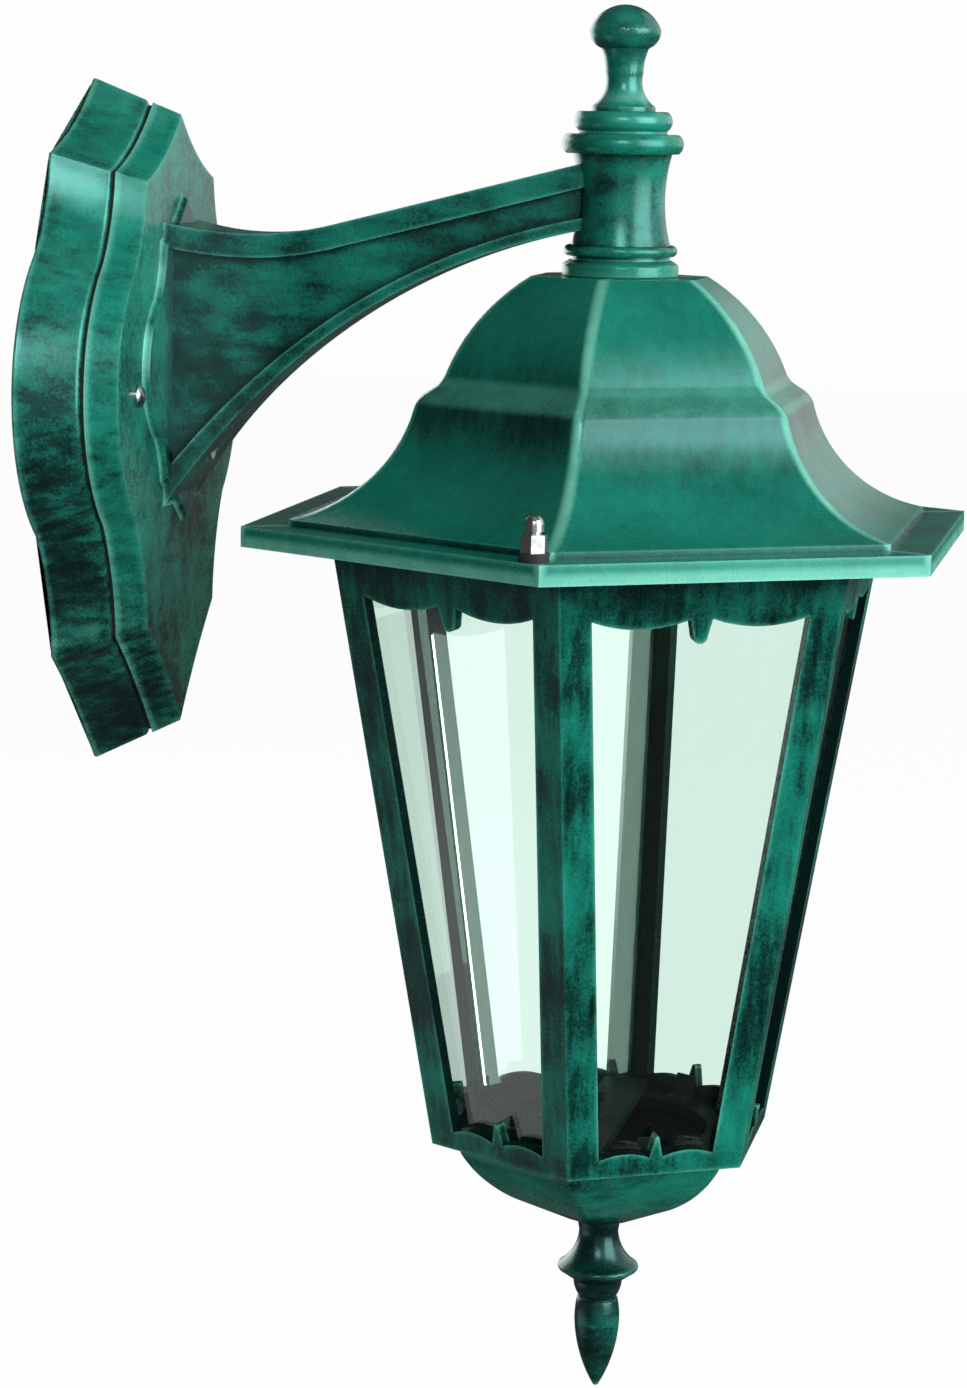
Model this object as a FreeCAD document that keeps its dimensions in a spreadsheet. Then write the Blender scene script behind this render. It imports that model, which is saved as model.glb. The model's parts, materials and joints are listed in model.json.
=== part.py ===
import FreeCAD, Part
import math
import os
import Sketcher
from FreeCAD import Placement, Rotation, Vector
from types import SimpleNamespace

# Hexagonal outdoor wall lantern on a curved arm, in millimetres.
# The wall is the plane Y = 0, the lantern stands out along -Y, +Z is up, and the origin is the
# middle of the wall fixing. The lantern's axis is vertical, axis_reach in front of the wall.

sizes = {
    # general
    "axis_reach": 143,
    "thread_gap": 0.15,
    "slip_gap": 0.3,
    "cutter_margin": 1,
    # wall plate outline: an ogee with a pointed top, two shoulders, a bulge and a pointed tail
    "plate_half_width": 65.3,
    "plate_top": 81,
    "plate_tail": 103,
    "plate_shoulder_half": 36,
    "plate_shoulder_top": 61.7,
    "plate_shoulder_tail": 69.6,
    "plate_flank_half": 47.5,
    "plate_flank_height": 36.5,
    "plate_crown_sag": 2.7,
    "plate_flank_sag": 2.4,
    "plate_tail_sag": 1.6,
    # wall plate depths
    "plate_draft": 0.44,
    "plate_wall": 3,
    "box_depth": 15.7,
    "gasket_thickness": 1,
    "gasket_inset": 1.4,
    "front_depth": 8,
    "window_radius": 41,
    # wall fixing
    "bracket_half_length": 44,
    "bracket_height": 18,
    "bracket_thickness": 2,
    "wall_slot_spacing": 44,
    "wall_slot_length": 9,
    "wall_slot_width": 4.5,
    "plate_screw_spacing": 77,
    "plate_screw_radius": 1.9,
    "plate_screw_head_radius": 3,
    "plate_screw_head_band": 0.9,
    "plate_screw_head_dome": 1.3,
    "plate_screw_slot_width": 0.9,
    "earth_screw_offset": 30,
    "earth_screw_radius": 1.5,
    "earth_screw_head_radius": 2.7,
    "earth_screw_head_height": 1.5,
    "terminal_width": 24,
    "terminal_depth": 13,
    "terminal_height": 15,
    "terminal_pitch": 7.6,
    "terminal_clamp_radius": 2,
    "terminal_clamp_length": 8,
    "terminal_wire_radius": 1.6,
    # arm
    "foot_across": 0.52,
    "foot_above": 0.61,
    "foot_below": 0.37,
    "foot_rise": 1.5,
    "foot_thickness": 1.8,
    "foot_taper": 0.02,
    "arm_root_top": 43.6,
    "arm_dip_reach": 47,
    "arm_dip_level": 41,
    "arm_bend_reach": 70,
    "arm_bend_level": 44.3,
    "arm_end_top": 63.2,
    "arm_end_bottom": 45.2,
    "arm_belly_reach": 90,
    "arm_belly_level": 29,
    "arm_root_bottom": -31,
    "arm_root_half": 16,
    "arm_flare_reach": 38,
    "arm_flare_half": 11.2,
    "arm_neck_reach": 58,
    "arm_neck_half": 8.6,
    "arm_end_half": 7.5,
    "arm_top_edge": 6.2,
    "arm_bottom_edge": 3.2,
    "arm_root_edge": 9,
    "arm_recess_depth": 1.9,
    "arm_bolt_spacing": 50,
    "arm_bolt_level": 8,
    "arm_bolt_radius": 2.4,
    "arm_bolt_reach": 9,
    "arm_bolt_head_radius": 4.5,
    "arm_bolt_head_height": 3.4,
    "wire_bore_radius": 3.2,
    "wire_bore_level": 17,
    "wire_bore_rise": 39,
    # turned neck: collar, hub and top finial
    "roof_top": 32,
    "collar_height": 4.3,
    "collar_radius": 15.1,
    "collar_neck_radius": 13.2,
    "collar_band": 3,
    "hub_neck_radius": 12.8,
    "hub_neck_height": 1,
    "hub_ring_radius": 14.7,
    "hub_ring_height": 2.7,
    "hub_vase_radius": 12.8,
    "hub_vase_height": 23.4,
    "hub_waist_radius": 11.2,
    "hub_crown_radius": 15.7,
    "hub_crown_height": 4.9,
    "finial_joint_radius": 11.4,
    "finial_joint_height": 0.9,
    "finial_skirt_radius": 12.7,
    "finial_skirt_height": 4.9,
    "finial_foot_radius": 8.2,
    "finial_foot_height": 1.2,
    "finial_sweep_radius": 5.55,
    "finial_sweep_rise": 2.9,
    "finial_waist_radius": 4.9,
    "finial_waist_height": 8.6,
    "finial_throat_radius": 5.2,
    "finial_neck_radius": 6.2,
    "finial_neck_height": 6.2,
    "finial_ball_radius": 9.2,
    "finial_ball_below": 4.6,
    "finial_cheek_radius": 8.4,
    "finial_cheek_drop": 2.8,
    "finial_ball_above": 6.4,
    "finial_bore_depth": 9.2,
    "nipple_radius": 4.85,
    "nipple_bore_radius": 3.5,
    # roof, half widths across the flats and drops below its flat top
    "roof_wall": 2.5,
    "roof_top_half": 21.5,
    "roof_dome_half": 41.8,
    "roof_dome_drop": 27,
    "roof_bulge_half": 35.2,
    "roof_bulge_drop": 13.4,
    "roof_step_half": 47.8,
    "roof_step_drop": 31.3,
    "roof_sweep_half": 54.8,
    "roof_sweep_drop": 47.4,
    "roof_skirt_half": 76.6,
    "roof_skirt_drop": 61.5,
    "roof_rim_drop": 63,
    "roof_eave_half": 87.1,
    "roof_lip": 5.2,
    # roof nuts
    "stud_circle_radius": 94.5,
    "stud_side_offset": 2.5,
    "stud_radius": 2,
    "nut_washer_radius": 3.7,
    "nut_washer_thickness": 2.2,
    "acorn_radius": 3.4,
    "acorn_body_height": 4.4,
    "acorn_bore_depth": 3.4,
    "acorn_neck_radius": 1.9,
    "acorn_neck_height": 0.7,
    "acorn_dome_radius": 2.4,
    "acorn_dome_band": 1.6,
    # nipple nut and lampholder
    "roof_washer_radius": 12,
    "roof_washer_thickness": 1.5,
    "roof_nut_radius": 8.1,
    "roof_nut_height": 5,
    "holder_boss_radius": 8,
    "holder_boss_height": 7,
    "holder_cap_height": 16.5,
    "holder_radius": 19.5,
    "holder_wall": 2.6,
    "holder_skirt_height": 30,
    "holder_core_height": 8,
    "socket_radius": 13.4,
    "socket_wall": 0.7,
    "socket_length": 19,
    "contact_radius": 4,
    "contact_tip_radius": 2.4,
    "contact_height": 2.4,
    # cage
    "cage_flange_thickness": 2.5,
    "cage_top_radius": 76.7,
    "cage_bottom_radius": 47.5,
    "cage_height": 160.9,
    "cage_wall": 3,
    "cage_floor": 3,
    "cage_floor_hole_radius": 28,
    "post_width": 8.5,
    "apron_height": 12.6,
    "scallop_sag": 2.3,
    "pendant_half": 2.9,
    "pendant_tip_half": 1.9,
    "pendant_drop": 6.4,
    "rail_height": 5,
    "rail_sag": 1.4,
    "spike_half": 1.8,
    "spike_tip_half": 0.5,
    "spike_rise": 5.4,
    # glass
    "glass_thickness": 3,
    "glass_gap": 0.15,
    "glass_side_gap": 4,
    "glass_head": 6,
    "clip_width": 6,
    "clip_foot": 5,
    "clip_upright": 6,
    "clip_thickness": 0.8,
    # base dish and bottom finial
    "dish_half": 34.5,
    "dish_band": 3.6,
    "dish_turn_half": 29.6,
    "dish_turn_drop": 10.4,
    "dish_knee_half": 21.8,
    "dish_knee_drop": 16.7,
    "dish_boss_half": 8.5,
    "dish_depth": 23.6,
    "dish_wall": 2.6,
    "bridge_half_length": 36,
    "bridge_width": 12,
    "bridge_thickness": 2.5,
    "base_stud_radius": 2.4,
    "base_stud_reach": 11,
    "bridge_nut_radius": 4.6,
    "bridge_nut_height": 4,
    "drop_collar_radius": 6,
    "drop_neck_radius": 5.3,
    "drop_neck_drop": 4,
    "drop_flare_radius": 6.6,
    "drop_flare_drop": 9,
    "drop_ring_radius": 10.4,
    "drop_ring_swell": 0.5,
    "drop_ring_drop": 13.4,
    "drop_ring_band": 1.6,
    "drop_cup_radius": 6.6,
    "drop_cup_drop": 17.7,
    "drop_cup_swell": 0.4,
    "drop_waist_radius": 5.1,
    "drop_waist_drop": 22.4,
    "drop_waist_band": 0.7,
    "drop_spike_root": 5.5,
    "drop_spike_radius": 6.1,
    "drop_spike_cheek": 6,
    "drop_spike_drop": 29.5,
    "drop_ogive_radius": 4.8,
    "drop_ogive_drop": 38,
    "drop_length": 48.1,
    "drop_tip_radius": 0.6,
}

doc = FreeCAD.newDocument("Lantern")
sheet = doc.addObject("Spreadsheet::Sheet", "Sizes")
for row, (alias, number) in enumerate(sizes.items(), start=1):
    sheet.set(f"A{row}", alias)
    sheet.set(f"B{row}", str(number))
    sheet.setAlias(f"B{row}", alias)
doc.recompute()


class Size:
    """A number that follows the sheet: its value now, and the expression that binds it."""

    def __init__(self, number, text):
        self.number = number
        self.text = text

    def joined(self, sign, other, number):
        return Size(number, f"({self.text} {sign} {other.text})")

    def __add__(self, other):
        other = as_size(other)
        return self.joined("+", other, self.number + other.number)

    def __sub__(self, other):
        other = as_size(other)
        return self.joined("-", other, self.number - other.number)

    def __mul__(self, other):
        other = as_size(other)
        return self.joined("*", other, self.number * other.number)

    def __truediv__(self, other):
        other = as_size(other)
        return self.joined("/", other, self.number / other.number)

    def __radd__(self, other):
        return as_size(other) + self

    def __rsub__(self, other):
        return as_size(other) - self

    def __rmul__(self, other):
        return as_size(other) * self

    def __neg__(self):
        return Size(-self.number, f"(-{self.text})")


def as_size(amount):
    return amount if isinstance(amount, Size) else Size(amount, str(amount))


def value(amount):
    return as_size(amount).number


def bound(amount):
    return as_size(amount).text


def cos(angle):
    return Size(math.cos(math.radians(value(angle))), f"cos({bound(angle)})")


def sin(angle):
    return Size(math.sin(math.radians(value(angle))), f"sin({bound(angle)})")


def tan(angle):
    return Size(math.tan(math.radians(value(angle))), f"tan({bound(angle)})")


def atan(ratio):
    return Size(math.degrees(math.atan(value(ratio))), f"atan({bound(ratio)})")


s = SimpleNamespace(**{alias: Size(number, "Sizes." + alias) for alias, number in sizes.items()})

# levels and depths that follow from the driving sizes
plate_half_height = (s.plate_top + s.plate_tail) / 2
gasket_front = s.box_depth + s.gasket_thickness
plate_front = gasket_front + s.front_depth
plate_hollow = plate_front - s.plate_wall
foot_front = plate_front + s.foot_thickness
hub_foot = s.roof_top + s.collar_height
hub_ring_foot = hub_foot + s.hub_neck_height
hub_vase_foot = hub_ring_foot + s.hub_ring_height
hub_crown_foot = hub_vase_foot + s.hub_vase_height
hub_top = hub_crown_foot + s.hub_crown_height
finial_skirt_foot = hub_top + s.finial_joint_height
finial_skirt_top = finial_skirt_foot + s.finial_skirt_height
finial_foot_top = finial_skirt_top + s.finial_foot_height
finial_waist_level = finial_foot_top + s.finial_waist_height
finial_neck_level = finial_waist_level + s.finial_neck_height
finial_ball_level = finial_neck_level + s.finial_ball_below
neck_bore_radius = s.nipple_radius + s.thread_gap
roof_ceiling = s.roof_top - s.roof_wall
roof_rim = s.roof_top - s.roof_rim_drop
roof_bottom = roof_rim - s.roof_lip
roof_washer_foot = roof_ceiling - s.roof_washer_thickness
roof_nut_foot = roof_washer_foot - s.roof_nut_height
holder_cap_foot = roof_nut_foot - s.holder_cap_height
holder_core_foot = holder_cap_foot - s.holder_core_height
holder_foot = holder_cap_foot - s.holder_skirt_height
cage_flange_top = roof_rim - s.roof_wall
cage_top = cage_flange_top - s.cage_flange_thickness
cage_bottom = cage_top - s.cage_height
cage_floor_top = cage_bottom + s.cage_floor
cage_taper = (s.cage_top_radius - s.cage_bottom_radius) / s.cage_height
cage_flange_half = s.roof_eave_half - s.roof_wall - s.slip_gap
face_lean = atan(cage_taper * cos(30))
face_length = s.cage_height / cos(face_lean)
face_taper = cage_taper * cos(face_lean) / 2
pane_depth = s.cage_wall + s.glass_gap
dish_bottom = cage_bottom - s.dish_depth
bridge_top = cage_floor_top + s.bridge_thickness
base_bore_radius = s.base_stud_radius + s.thread_gap

nodes = {}
hexagon_turns = [60 * step for step in range(6)]
toward_front = Rotation(Vector(1, 0, 0), 90)


def start_body(name):
    return doc.addObject("PartDesign::Body", name)


def origin_feature(body, role):
    return next(feature for feature in body.Origin.OriginFeatures if feature.Role == role)


def add_sketch(body, role, offset=0):
    """Sketch on one of the body's own origin planes, moved along the plane's normal."""
    sketch = body.newObject("Sketcher::SketchObject", body.Name + "_sketch")
    sketch.AttachmentSupport = [(origin_feature(body, role), "")]
    sketch.MapMode = "FlatFace"
    sketch.setExpression("AttachmentOffset.Base.z", bound(offset))
    return sketch


def fix_point(sketch, geometry, vertex, u, v):
    """Holds a point of the sketch at the place that two expressions give."""
    for direction, text in (("DistanceX", u), ("DistanceY", v)):
        constraint = Sketcher.Constraint(direction, -1, 1, geometry, vertex, value(text))
        index = sketch.addConstraint(constraint)
        sketch.setExpression(f"Constraints[{index}]", bound(text))


def draw(sketch, corners):
    """Closed outline through corners (u, v), or (u, v, (u, v)) where an arc goes on to the next
    corner through the inner point."""
    points = [Vector(value(corner[0]), value(corner[1]), 0) for corner in corners]
    ends = []
    for step, corner in enumerate(corners):
        start, end = points[step], points[(step + 1) % len(points)]
        if len(corner) == 2:
            ends.append((sketch.addGeometry(Part.LineSegment(start, end), False), 1, 2))
            continue
        through = Vector(value(corner[2][0]), value(corner[2][1]), 0)
        circle = Part.Circle(start, through, end)
        centre = circle.Center
        leftward = (through - start).cross(end - through).z > 0
        first, last = (start, end) if leftward else (end, start)
        angles = [math.atan2(point.y - centre.y, point.x - centre.x) for point in (first, last)]
        flat_circle = Part.Circle(centre, Vector(0, 0, 1), circle.Radius)
        arc = sketch.addGeometry(Part.ArcOfCircle(flat_circle, *angles), False)
        ends.append((arc, 1, 2) if leftward else (arc, 2, 1))
        guide = sketch.addGeometry(Part.Point(through), True)
        sketch.addConstraint(Sketcher.Constraint("PointOnObject", guide, 1, arc))
        fix_point(sketch, guide, 1, *corner[2])
    for step, corner in enumerate(corners):
        here, following = ends[step], ends[(step + 1) % len(ends)]
        joint = Sketcher.Constraint("Coincident", here[0], here[2], following[0], following[1])
        sketch.addConstraint(joint)
        fix_point(sketch, here[0], here[1], corner[0], corner[1])


def draw_circle(sketch, radius, u=0, v=0):
    centre = Vector(value(u), value(v), 0)
    circle = sketch.addGeometry(Part.Circle(centre, Vector(0, 0, 1), value(radius)), False)
    index = sketch.addConstraint(Sketcher.Constraint("Radius", circle, value(radius)))
    sketch.setExpression(f"Constraints[{index}]", bound(radius))
    fix_point(sketch, circle, 3, u, v)


def draw_hexagon(sketch, radius, turn=0):
    draw(sketch, [(radius * cos(a + turn), radius * sin(a + turn)) for a in hexagon_turns])


def mirrored(half):
    """Closes a half outline that starts and ends on the axis of symmetry."""
    whole = list(half)
    for step in range(len(half) - 1, 0, -1):
        u, v = half[step][:2]
        corner = (-u, v)
        if len(half[step - 1]) == 3:
            through = half[step - 1][2]
            corner += ((-through[0], through[1]),)
        if step == len(half) - 1:
            whole[-1] = corner
        else:
            whole.append(corner)
    return whole


def pad(body, sketch, length, symmetric=False):
    feature = body.newObject("PartDesign::Pad", body.Name + "_pad")
    feature.Profile = sketch
    feature.setExpression("Length", bound(length))
    feature.SideType = "Symmetric" if symmetric else "One side"
    return feature


def pocket(body, sketch, length=None):
    """Cut both ways from the sketch, through everything unless a length is given."""
    feature = body.newObject("PartDesign::Pocket", body.Name + "_pocket")
    feature.Profile = sketch
    feature.SideType = "Symmetric"
    if length:
        feature.setExpression("Length", bound(length))
    else:
        feature.Type = "ThroughAll"
    return feature


def around_axis(body, feature):
    """Six copies of a cut about the body's own Z axis."""
    doc.recompute()
    pattern = body.newObject("PartDesign::PolarPattern", body.Name + "_pattern")
    pattern.Originals = [feature]
    pattern.Axis = (origin_feature(body, "Z_Axis"), [""])
    pattern.Angle = 360
    pattern.Occurrences = len(hexagon_turns)
    body.Tip = pattern
    return pattern


def loft(body, kind, first, last):
    feature = body.newObject(kind, body.Name + "_loft")
    feature.Profile = first
    feature.Sections = [last]
    feature.Ruled = True
    return feature


def place(thing, x=0, y=0, z=0, turn=Rotation()):
    thing.Placement = Placement(Vector(value(x), value(y), value(z)), turn)
    for axis, text in (("x", x), ("y", y), ("z", z)):
        thing.setExpression("Placement.Base." + axis, bound(text))
    return thing


def on_axis(thing, turn=0):
    """Stands a piece on the lantern's axis, turned about it."""
    return place(thing, y=-s.axis_reach, turn=Rotation(Vector(0, 0, 1), turn))


def turned(name, corners):
    """Solid of revolution about its own Z axis from a half section (radius, level)."""
    body = start_body(name)
    sketch = add_sketch(body, "XZ_Plane")
    draw(sketch, corners)
    feature = body.newObject("PartDesign::Revolution", name + "_revolution")
    feature.Profile = sketch
    feature.ReferenceAxis = (sketch, ["V_Axis"])
    feature.Angle = 360
    return body


def cap(radius, foot, height):
    """Corners of a round cap that closes a turned section on its axis."""
    ball = (radius * radius + height * height) / (2 * height)
    half = atan(height / radius)
    top = foot + height
    return [(radius, foot, (ball * sin(half), top - ball * (1 - cos(half)))), (0, top)]


def plate(name, role, corners, length, symmetric=False, offset=0):
    """Flat piece: one outline padded from an origin plane."""
    body = start_body(name)
    sketch = add_sketch(body, role, offset)
    draw(sketch, corners)
    pad(body, sketch, length, symmetric)
    return body


def rod(name, radius, length, x=0, y=0, z=0, turn=Rotation()):
    cylinder = doc.addObject("Part::Cylinder", name)
    cylinder.setExpression("Radius", bound(radius))
    cylinder.setExpression("Height", bound(length))
    return place(cylinder, x, y, z, turn)


def cut(name, base, *tools):
    for step, tool in enumerate(tools):
        last = step == len(tools) - 1
        result = doc.addObject("Part::Cut", name if last else f"{name}_cut{step}")
        result.Base = base
        result.Tool = tool
        base = result
    return base


def fuse(name, *shapes):
    result = doc.addObject("Part::MultiFuse", name)
    result.Shapes = list(shapes)
    return result


def common(name, *shapes):
    result = doc.addObject("Part::MultiCommon", name)
    result.Shapes = list(shapes)
    return result


def group(name, members):
    result = doc.addObject("Part::Compound", name)
    result.Links = members
    return result


def bell(name, corners, widest):
    """Six-sided solid whose flats all follow one section: corners (half width, level), top first.
    A round blank is cut to that section on each of its six sides."""
    top, bottom = corners[0][1], corners[-1][1]
    blank_radius = widest / cos(30) + s.cutter_margin
    outside = blank_radius + s.cutter_margin
    body = start_body(name)
    blank = add_sketch(body, "XY_Plane", bottom)
    draw_circle(blank, blank_radius)
    pad(body, blank, top - bottom)
    section = add_sketch(body, "YZ_Plane")
    above, below = top + s.cutter_margin, bottom - s.cutter_margin
    waste = [(corners[0][0], above)] + list(corners)
    waste += [(corners[-1][0], below), (outside, below), (outside, above)]
    draw(section, waste)
    around_axis(body, pocket(body, section))
    return on_axis(body)


# wall plate: two tiers of one drafted ogee, with a gasket between them
def inset_ogee(inset):
    """Plate outline, smaller by an inset on every side."""
    along = 1 - inset / plate_half_height
    return ogee(1 - inset / s.plate_half_width, along, along, 0)


def ogee(across, above, below, centre):
    """Plate outline scaled across, above and below its centre."""

    def at(u, v):
        along = below if value(v) < 0 else above
        return u * across, v * along + centre

    flank_u = (s.plate_shoulder_half + s.plate_flank_half) / 2 - s.plate_flank_sag
    crown = at(s.plate_shoulder_half / 2, (s.plate_top + s.plate_shoulder_top) / 2 - s.plate_crown_sag)
    upper = at(flank_u, (s.plate_shoulder_top + s.plate_flank_height) / 2)
    lower = at(flank_u, -(s.plate_shoulder_tail + s.plate_flank_height) / 2)
    tail = at(s.plate_shoulder_half / 2, -(s.plate_tail + s.plate_shoulder_tail) / 2 + s.plate_tail_sag)
    return mirrored([
        (*at(0, s.plate_top), crown),
        (*at(s.plate_shoulder_half, s.plate_shoulder_top), upper),
        (*at(s.plate_flank_half, s.plate_flank_height), at(s.plate_half_width, 0)),
        (*at(s.plate_flank_half, -s.plate_flank_height), lower),
        (*at(s.plate_shoulder_half, -s.plate_shoulder_tail), tail),
        at(0, -s.plate_tail),
    ])


def tier(name, back, front, hollow_front):
    """Drafted slab of the plate, hollowed from behind to the plate's wall."""
    body = start_body(name)
    for kind, wall, depths in (
        ("PartDesign::AdditiveLoft", 0, (back, front)),
        ("PartDesign::SubtractiveLoft", s.plate_wall, (back, hollow_front)),
    ):
        outlines = []
        for depth in depths:
            outline = add_sketch(body, "XZ_Plane", depth)
            draw(outline, inset_ogee(s.plate_draft * depth + wall))
            outlines.append(outline)
        loft(body, kind, *outlines)
    return body


wall_box = tier("wall_box_casting", 0, s.box_depth, s.box_depth - s.plate_wall)
window = rod("wall_box_window", s.window_radius, s.box_depth + s.plate_wall, turn=toward_front)
nodes["wall_box"] = cut("wall_box", wall_box, window)

gasket = start_body("plate_gasket")
gasket_outline = add_sketch(gasket, "XZ_Plane", s.box_depth)
draw(gasket_outline, inset_ogee(s.plate_draft * s.box_depth + s.gasket_inset))
draw_circle(gasket_outline, s.window_radius)
pad(gasket, gasket_outline, s.gasket_thickness)
nodes["plate_gasket"] = gasket

front_tier = tier("front_plate_casting", gasket_front, plate_front, plate_hollow)
front_holes = []
for side in (-1, 1):
    screw_x = side * s.plate_screw_spacing / 2
    bolt_z = s.arm_bolt_level + side * s.arm_bolt_spacing / 2
    front_holes.append(rod("screw_hole", s.plate_screw_radius + s.slip_gap, foot_front,
                           x=screw_x, turn=toward_front))
    front_holes.append(rod("bolt_hole", s.arm_bolt_radius + s.slip_gap, foot_front,
                           z=bolt_z, turn=toward_front))
front_holes.append(rod("wire_hole", s.wire_bore_radius + s.slip_gap, foot_front,
                       z=s.wire_bore_level, turn=toward_front))
nodes["front_plate"] = cut("front_plate", front_tier, *front_holes)

# wall fixing inside the plate
strap_end, strap_edge = s.bracket_half_length, s.bracket_height / 2
strap = plate("bracket_strap", "XZ_Plane", [
    (-strap_end, -strap_edge), (strap_end, -strap_edge),
    (strap_end, strap_edge), (-strap_end, strap_edge),
], s.bracket_thickness)
slot_run = (s.wall_slot_length - s.wall_slot_width) / 2
slot_sketch = add_sketch(strap, "XZ_Plane")
for side in (-1, 1):
    slot_middle = side * s.wall_slot_spacing / 2
    slot_left, slot_right = slot_middle - slot_run, slot_middle + slot_run
    draw(slot_sketch, [
        (slot_left, -s.wall_slot_width / 2),
        (slot_right, -s.wall_slot_width / 2, (slot_right + s.wall_slot_width / 2, 0)),
        (slot_right, s.wall_slot_width / 2),
        (slot_left, s.wall_slot_width / 2, (slot_left - s.wall_slot_width / 2, 0)),
    ])
    draw_circle(slot_sketch, s.plate_screw_radius + s.thread_gap, side * s.plate_screw_spacing / 2)
draw_circle(slot_sketch, s.earth_screw_radius + s.thread_gap, s.earth_screw_offset)
pocket(strap, slot_sketch)
nodes["wall_bracket"] = strap

plate_screws = []
for side in (-1, 1):
    screw = turned("plate_screw", [
        (0, -plate_front + s.thread_gap),
        (s.plate_screw_radius, -plate_front + s.thread_gap),
        (s.plate_screw_radius, 0),
        (s.plate_screw_head_radius, 0),
        *cap(s.plate_screw_head_radius, s.plate_screw_head_band, s.plate_screw_head_dome),
    ])
    slot = add_sketch(screw, "XZ_Plane")
    slot_floor, slot_edge = s.plate_screw_head_band, s.plate_screw_slot_width / 2
    slot_top = s.plate_screw_head_band + s.plate_screw_head_dome + s.cutter_margin
    draw(slot, [
        (-slot_edge, slot_floor), (slot_edge, slot_floor),
        (slot_edge, slot_top), (-slot_edge, slot_top),
    ])
    pocket(screw, slot)
    plate_screws.append(place(screw, x=side * s.plate_screw_spacing / 2, y=-plate_front,
                              turn=toward_front))
nodes["plate_screws"] = group("plate_screws", plate_screws)

earth_screw = turned("earth_screw", [
    (0, -s.bracket_thickness),
    (s.earth_screw_radius, -s.bracket_thickness),
    (s.earth_screw_radius, 0),
    (s.earth_screw_head_radius, 0),
    (s.earth_screw_head_radius, s.earth_screw_head_height),
    (0, s.earth_screw_head_height),
])
nodes["earth_screw"] = place(earth_screw, x=s.earth_screw_offset, y=-s.bracket_thickness,
                             turn=toward_front)

terminal_left, terminal_low = -s.terminal_width / 2, -s.terminal_height / 2
terminal = plate("terminal_block", "XZ_Plane", [
    (terminal_left, terminal_low), (s.terminal_width / 2, terminal_low),
    (s.terminal_width / 2, s.terminal_height / 2), (terminal_left, s.terminal_height / 2),
], s.terminal_depth, offset=s.bracket_thickness)
terminal_front = s.bracket_thickness + s.terminal_depth
wire_depth = terminal_front - s.terminal_clamp_length
clamp_length = s.terminal_clamp_length - s.terminal_wire_radius - s.thread_gap
clamp_holes = add_sketch(terminal, "XZ_Plane", terminal_front)
wire_holes = add_sketch(terminal, "XY_Plane")
clamps = []
for step in (-1, 0, 1):
    clamp_x = step * s.terminal_pitch
    draw_circle(clamp_holes, s.terminal_clamp_radius + s.thread_gap, clamp_x)
    draw_circle(wire_holes, s.terminal_wire_radius, clamp_x, -wire_depth)
    clamps.append(rod("terminal_clamp", s.terminal_clamp_radius, clamp_length,
                      x=clamp_x, y=clamp_length - terminal_front, turn=toward_front))
pocket(terminal, clamp_holes, 2 * s.terminal_clamp_length)
pocket(terminal, wire_holes)
nodes["terminal_block"] = terminal
nodes["terminal_clamps"] = group("terminal_clamps", clamps)

arm_bolts = []
for side in (-1, 1):
    bolt = start_body("arm_bolt")
    head = add_sketch(bolt, "XY_Plane", -s.arm_bolt_head_height)
    draw_hexagon(head, s.arm_bolt_head_radius)
    pad(bolt, head, s.arm_bolt_head_height)
    shank = add_sketch(bolt, "XY_Plane")
    draw_circle(shank, s.arm_bolt_radius)
    pad(bolt, shank, s.plate_wall + s.arm_bolt_reach)
    arm_bolts.append(place(bolt, y=-plate_hollow, z=s.arm_bolt_level + side * s.arm_bolt_spacing / 2,
                           turn=toward_front))
nodes["arm_bolts"] = group("arm_bolts", arm_bolts)

# arm: ogee foot, curved arm with raised edges round a sunk panel, turned hub
foot = start_body("arm_foot")
foot_outlines = []
for depth, taper in ((plate_front, 0), (foot_front, s.foot_taper)):
    outline = add_sketch(foot, "XZ_Plane", depth)
    scales = [scale - taper for scale in (s.foot_across, s.foot_above, s.foot_below)]
    draw(outline, ogee(*scales, s.foot_rise))
    foot_outlines.append(outline)
loft(foot, "PartDesign::AdditiveLoft", *foot_outlines)

arm_start = -plate_front
arm_side = plate("arm_side", "YZ_Plane", [
    (arm_start, s.arm_root_top, (-s.arm_dip_reach, s.arm_dip_level)),
    (-s.arm_bend_reach, s.arm_bend_level),
    (-s.axis_reach, s.arm_end_top),
    (-s.axis_reach, s.arm_end_bottom, (-s.arm_belly_reach, s.arm_belly_level)),
    (arm_start, s.arm_root_bottom),
], 4 * s.arm_root_half, symmetric=True)
recess_side = plate("recess_side", "YZ_Plane", [
    (arm_start, s.arm_root_top - s.arm_top_edge, (-s.arm_dip_reach, s.arm_dip_level - s.arm_top_edge)),
    (-s.arm_bend_reach, s.arm_bend_level - s.arm_top_edge),
    (-s.axis_reach, s.arm_end_top - s.arm_top_edge),
    (-s.axis_reach, s.arm_end_bottom + s.arm_bottom_edge,
     (-s.arm_belly_reach, s.arm_belly_level + s.arm_bottom_edge)),
    (arm_start, s.arm_root_bottom + s.arm_root_edge),
], 4 * s.arm_root_half, symmetric=True)


def arm_plan(name, inset):
    """The arm seen from above, flaring towards its root, less an inset on both sides."""
    def beside(half, reach):
        return half - inset, -reach

    root, end = beside(s.arm_root_half, plate_front), beside(s.arm_end_half, s.axis_reach)
    half = [(0, root[1]), (*root, beside(s.arm_flare_half, s.arm_flare_reach)),
            beside(s.arm_neck_half, s.arm_neck_reach), end, (0, end[1])]
    return plate(name, "XY_Plane", mirrored(half), 4 * s.arm_end_top, symmetric=True)


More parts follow.
